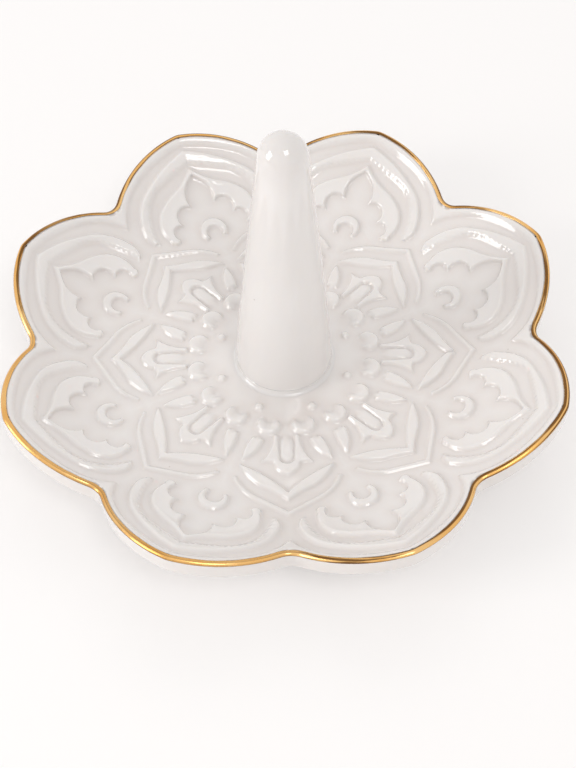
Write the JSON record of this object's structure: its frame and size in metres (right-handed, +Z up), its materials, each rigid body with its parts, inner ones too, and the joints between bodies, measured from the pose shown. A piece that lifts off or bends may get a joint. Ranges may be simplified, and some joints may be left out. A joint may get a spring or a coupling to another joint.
{
  "type": "ring dish",
  "caption": "Small round trinket dish with a pointed-lobe gilt rim, moulded lotus relief inside and an upright cone in the middle that holds rings.",
  "frame": {"origin": "on the surface that the dish stands on, under the axis of the cone", "axes": "+Z up along the cone's axis; -Y towards the front, where a notch of the rim lies; +X to the right seen from the front"},
  "size_m": [0.0886, 0.0886, 0.0544],
  "materials": {
    "dish_glaze": "glossy warm white glaze",
    "cone_glaze": "glossy warm white glaze",
    "slip": "glossy warm white glaze over clay slip",
    "gilding": "polished fired gold lustre"
  },
  "bodies": {
    "root": {"dish_body": "dish_glaze", "ring_cone": "cone_glaze", "slip_joint": "slip", "gilt_rim": "gilding"}
  },
  "joints": []
}
